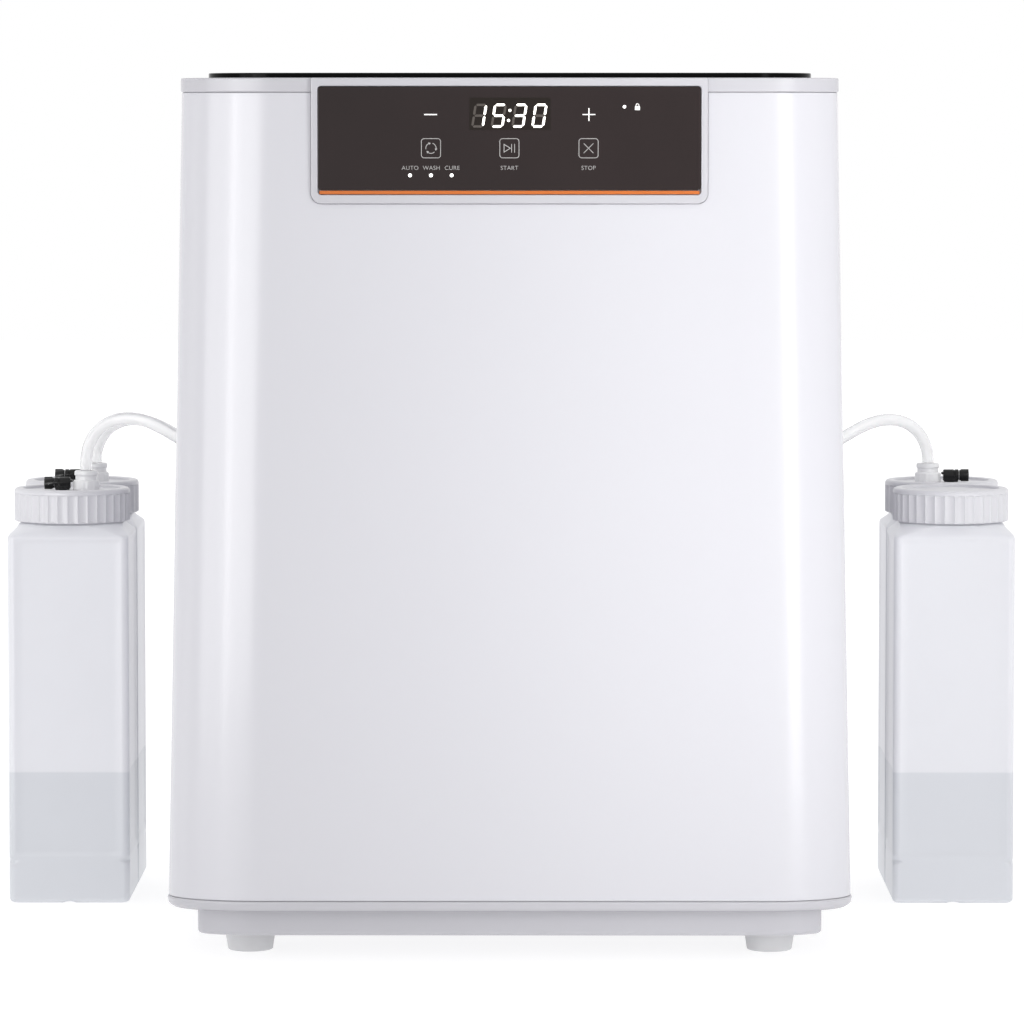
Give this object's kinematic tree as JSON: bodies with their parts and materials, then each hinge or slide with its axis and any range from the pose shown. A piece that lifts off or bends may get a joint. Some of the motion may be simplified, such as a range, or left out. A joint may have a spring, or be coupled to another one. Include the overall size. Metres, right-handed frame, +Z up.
{
  "type": "resin wash station",
  "caption": "Washing and curing station for resin prints: white casing with a flat lid and a control panel, and square liquid bottles joined to it by hoses.",
  "frame": {"origin": "on the floor, at the middle of the whole object's box", "axes": "+X to the right seen from the front, +Y to the rear, +Z up"},
  "size_m": [0.6328, 0.4116, 0.52],
  "materials": {
    "casing_white": "glossy moulded white with a faint cool tint",
    "grey_trim": "satin light grey moulding",
    "foot_grey": "satin grey foot",
    "lid_black": "polished black plate that blocks ultraviolet light",
    "black_plastic": "matt black moulding",
    "rubber_black": "soft seal",
    "steel": "plain sheet and turned steel",
    "tank_steel": "satin stainless tub",
    "basket_steel": "perforated stainless sheet",
    "panel_glass": "dark tinted touch glass",
    "accent_orange": "satin orange strip",
    "circuit_board": "green laminate",
    "uv_lamp": "frosted violet lamp cover",
    "white_plastic": "satin white moulding",
    "bottle_milky": "milky translucent blow-moulded plastic",
    "cap_grey": "satin light grey ribbed cap",
    "vent_black": "glossy black moulding",
    "hose_clear": "translucent silicone"
  },
  "bodies": {
    "station": {"outer_shell": "casing_white", "top_rim": "grey_trim", "base_rim": "grey_trim", "base_plate": "grey_trim", "panel_bezel": "grey_trim", "rear_cover": "grey_trim", "foot_front_left": "foot_grey", "foot_front_right": "foot_grey", "foot_rear_left": "foot_grey", "foot_rear_right": "foot_grey", "display_module": "black_plastic", "drain_elbow": "black_plastic", "pump_left": "black_plastic", "pump_right": "black_plastic", "fan_frame": "black_plastic", "power_inlet": "black_plastic", "hinge_pin_left": "steel", "hinge_pin_right": "steel", "motor_bracket": "steel", "drive_motor": "steel", "power_supply": "steel", "wash_tank": "tank_steel", "panel_glass": "panel_glass", "panel_accent_strip": "accent_orange", "control_board": "circuit_board", "uv_light_bar_left": "uv_lamp", "uv_light_bar_right": "uv_lamp", "hose_fitting_left_front": "white_plastic", "hose_fitting_left_rear": "white_plastic", "hose_fitting_right_rear": "white_plastic", "hose_port_left_front": "white_plastic", "hose_port_left_rear": "white_plastic", "hose_port_right_rear": "white_plastic", "bottle_left_front": "bottle_milky", "bottle_left_rear": "bottle_milky", "bottle_right_rear": "bottle_milky", "cap_left_front": "cap_grey", "cap_left_rear": "cap_grey", "cap_right_rear": "cap_grey", "vent_valve_left_front": "vent_black", "vent_valve_left_rear": "vent_black", "vent_valve_right_rear": "vent_black", "hose_left_front": "hose_clear", "hose_left_rear": "hose_clear", "hose_right_rear": "hose_clear"},
    "lid": {"lid_frame": "black_plastic", "lid_panel": "lid_black", "lid_gasket": "rubber_black"},
    "basket": {"basket": "basket_steel"},
    "handle": {"basket_handle": "white_plastic"},
    "impeller": {"impeller": "white_plastic"},
    "drive": {"drive_magnet_disc": "steel"},
    "fan": {"fan_rotor": "black_plastic"},
    "rocker": {"power_switch": "black_plastic"},
    "vent_knob_left_front": {"vent_knob_left_front": "vent_black"},
    "vent_knob_left_rear": {"vent_knob_left_rear": "vent_black"},
    "vent_knob_right_rear": {"vent_knob_right_rear": "vent_black"},
    "spare_bottle": {"bottle_right_front": "bottle_milky"},
    "spare_cap": {"cap_right_front": "cap_grey"}
  },
  "joints": [
    {"name": "lid_hinge", "type": "hinge", "parent": "station", "child": "lid", "pos_m": [0, 0.17, 0.51], "axis": [-1, 0, 0], "range_deg": [0, 95]},
    {"name": "basket_lift", "type": "slide", "parent": "station", "child": "basket", "axis": [0, 0, 1], "range_m": [0, 0.08]},
    {"name": "handle_swing", "type": "hinge", "parent": "basket", "child": "handle", "pos_m": [0, -0.012, 0.402], "axis": [1, 0, 0], "range_deg": [0, 90]},
    {"name": "drive_spin", "type": "hinge", "parent": "station", "child": "drive", "pos_m": [0, -0.012, 0.14], "axis": [0, 0, 1], "continuous": true},
    {"name": "impeller_spin", "type": "hinge", "parent": "station", "child": "impeller", "pos_m": [0, -0.012, 0.16], "axis": [0, 0, 1], "continuous": true},
    {"name": "fan_spin", "type": "hinge", "parent": "station", "child": "fan", "pos_m": [0.062, 0.184, 0.092], "axis": [0, 1, 0], "continuous": true},
    {"name": "power_rocker", "type": "hinge", "parent": "station", "child": "rocker", "pos_m": [-0.032, 0.1986, 0.084], "axis": [-1, 0, 0], "range_deg": [0, 16]},
    {"name": "spare_bottle_lift", "type": "slide", "parent": "station", "child": "spare_bottle", "axis": [0, 0, 1], "range_m": [0, 0.06]},
    {"name": "spare_cap_lift", "type": "slide", "parent": "spare_bottle", "child": "spare_cap", "axis": [0, 0, 1], "range_m": [0, 0.03]},
    {"name": "vent_turn_left_front", "type": "hinge", "parent": "station", "child": "vent_knob_left_front", "pos_m": [-0.2929, 0.084, 0.2631], "axis": [-1, 0, 0], "range_deg": [0, 90]},
    {"name": "vent_turn_left_rear", "type": "hinge", "parent": "station", "child": "vent_knob_left_rear", "pos_m": [-0.2929, 0.1634, 0.2631], "axis": [-1, 0, 0], "range_deg": [0, 90]},
    {"name": "vent_turn_right_rear", "type": "hinge", "parent": "station", "child": "vent_knob_right_rear", "pos_m": [0.2929, 0.1634, 0.2631], "axis": [1, 0, 0], "range_deg": [0, 90]}
  ],
  "couplings": [
    {"joint": "impeller_spin", "follows": "drive_spin", "ratio": 1}
  ]
}
